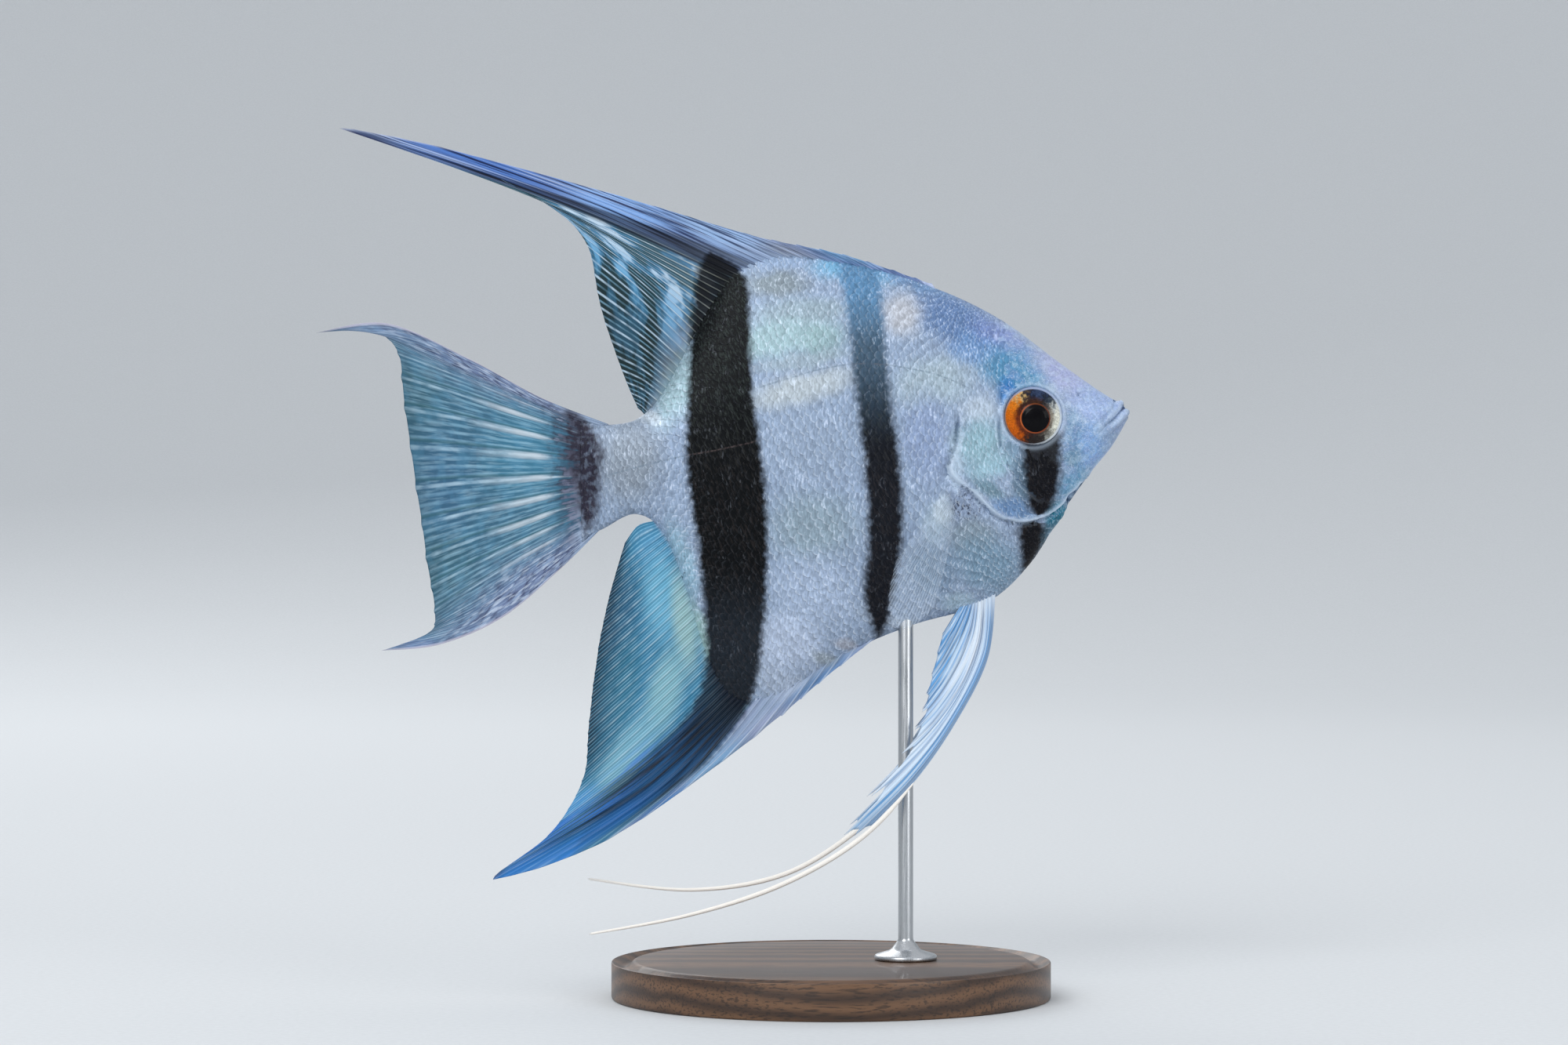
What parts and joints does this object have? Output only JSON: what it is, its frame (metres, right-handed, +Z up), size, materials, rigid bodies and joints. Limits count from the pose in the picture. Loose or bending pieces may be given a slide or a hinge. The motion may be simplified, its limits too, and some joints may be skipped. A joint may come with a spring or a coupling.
{
  "type": "freshwater angelfish display model",
  "caption": "Life-size still model of a silver freshwater angelfish with dark bars, long blue fins and thread-like pelvic fins, held on a rod over a round base.",
  "frame": {"origin": "centre of the stand's flat underside, on the surface it stands on", "axes": "+X towards the fish's snout, +Y towards its left side, +Z up"},
  "size_m": [0.13, 0.07, 0.1389],
  "materials": {
    "scaled_skin": "silver-blue scaled skin with four dark upright bars, satin gloss",
    "fin": "blue rayed fins, satin",
    "pelvic_fin": "pale blue to white rays, satin",
    "clear_fin": "nearly clear rayed fan",
    "eye": "black pupil in an orange and silver iris, high gloss",
    "walnut": "oiled walnut, satin",
    "steel": "brushed stainless steel"
  },
  "bodies": {
    "root": {"head": "scaled_skin", "lower_jaw": "scaled_skin", "gill_cover_right": "scaled_skin", "gill_cover_left": "scaled_skin", "throat": "scaled_skin", "trunk": "scaled_skin", "tail_base": "scaled_skin", "dorsal_fin_spiny": "fin", "dorsal_fin_soft": "fin", "anal_fin_spiny": "fin", "anal_fin_soft": "fin", "caudal_fin": "fin", "pelvic_fin_right": "pelvic_fin", "pelvic_fin_left": "pelvic_fin", "pectoral_fin_right": "clear_fin", "pectoral_fin_left": "clear_fin", "eye_right": "eye", "eye_left": "eye", "stand_base": "walnut", "stand_rod": "steel"}
  },
  "joints": []
}
